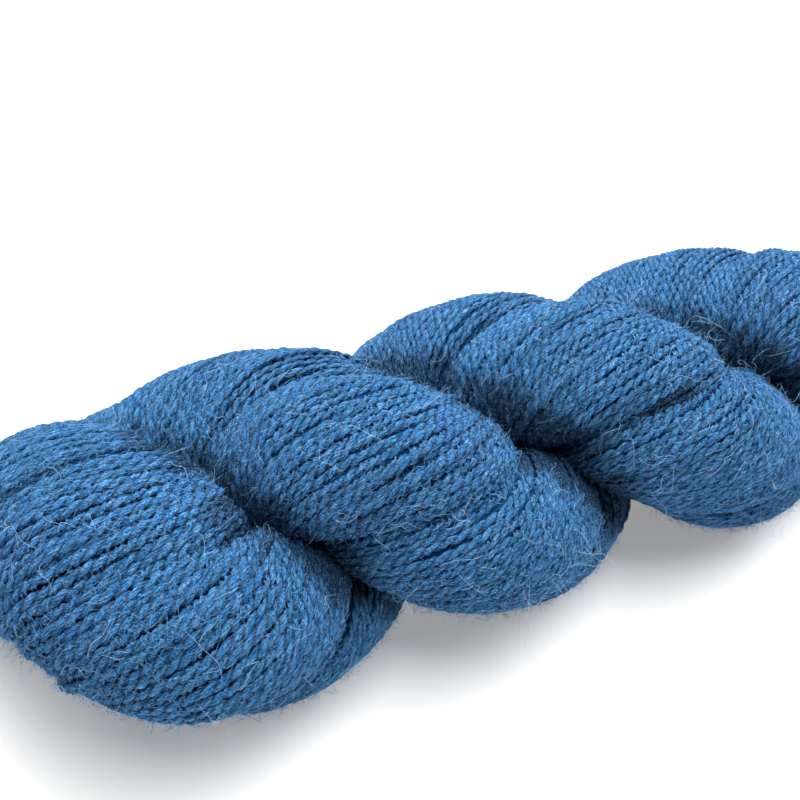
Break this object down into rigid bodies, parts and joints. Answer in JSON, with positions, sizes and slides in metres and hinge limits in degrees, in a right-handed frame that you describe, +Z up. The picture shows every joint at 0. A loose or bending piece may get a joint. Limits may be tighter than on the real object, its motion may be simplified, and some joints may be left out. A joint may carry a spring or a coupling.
{
  "type": "twisted skein of yarn",
  "caption": "Skein of plied wool yarn: a hank twisted into a rope and doubled, its two thick strands wound round each other and turned back at both ends.",
  "frame": {"origin": "on the floor under the middle of the skein's bounding box", "axes": "+X along the skein, from the end nearest the camera to the far end; -Y is the long side that faces the camera, +Y its back; +Z up"},
  "size_m": [0.2806, 0.095, 0.0716],
  "materials": {
    "blue_wool": "fuzzy plied wool yarn, matt"
  },
  "bodies": {
    "root": {"skein": "blue_wool"}
  },
  "joints": []
}
